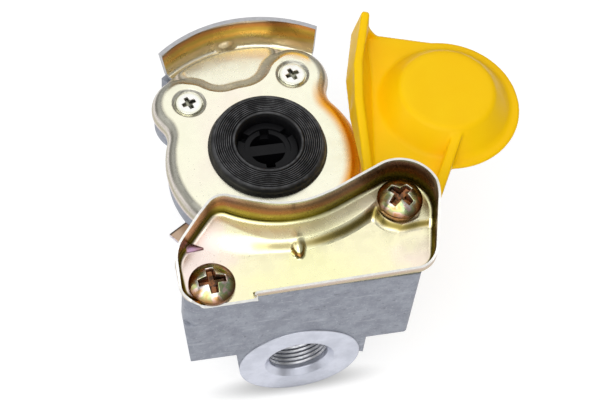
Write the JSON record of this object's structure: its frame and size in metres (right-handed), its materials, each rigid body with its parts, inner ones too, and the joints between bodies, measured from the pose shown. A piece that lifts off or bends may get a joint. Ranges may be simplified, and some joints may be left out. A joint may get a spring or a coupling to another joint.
{
  "type": "palm coupling",
  "caption": "Air brake palm coupling half: cast body with threaded port, ribbed seal under a pressed cover, curved guide wing, pressed claw and a swivelling dust cap.",
  "frame": {"origin": "centre of the chamber's flat back, under the seal's axis", "axes": "+Z along the seal's axis out of its face, -Y out of the threaded port, +X towards the opened dust cap"},
  "size_m": [0.1306, 0.1136, 0.088],
  "materials": {
    "cast_aluminium": "die-cast, matt",
    "chromated_sheet": "yellow chromated zinc on pressed steel",
    "chromated_sheet_wing": "deeper yellow chromated zinc",
    "seal_rubber": "ribbed moulded rubber",
    "black_plastic": "moulded",
    "black_rubber": "moulded",
    "spring_steel": "bright",
    "bright_zinc": "clear zinc",
    "chromated_screw": "iridescent chromated zinc",
    "yellow_plastic": "moulded, through-coloured"
  },
  "bodies": {
    "coupling": {"body_casting": "cast_aluminium", "cover_plate": "chromated_sheet", "guide_wing": "chromated_sheet_wing", "claw_plate": "chromated_sheet", "seal_ring": "seal_rubber", "seal_carrier": "black_plastic", "carrier_o_ring": "black_rubber", "valve_spring": "spring_steel", "spring_seat": "spring_steel", "cover_screw_left": "bright_zinc", "cover_screw_right": "bright_zinc", "claw_screw": "chromated_screw", "pivot_screw": "chromated_screw", "pivot_bush": "spring_steel", "thrust_washer": "spring_steel", "cap_spring": "spring_steel"},
    "cap": {"dust_cap": "yellow_plastic"},
    "valve": {"valve_tappet": "black_plastic", "valve_disc": "black_rubber"}
  },
  "joints": [
    {"name": "cap_swivel", "type": "hinge", "parent": "coupling", "child": "cap", "pos_m": [0.0356, -0.0382, 0.0664], "axis": [0, 0, 1], "range_deg": [0, 75], "deforming": ["cap_spring"]},
    {"name": "valve_stroke", "type": "slide", "parent": "coupling", "child": "valve", "axis": [0, 0, 1], "range_m": [-0.003, 0], "stiffness_N_per_m": 400, "springref_m": 0.006, "deforming": ["valve_spring"]}
  ]
}
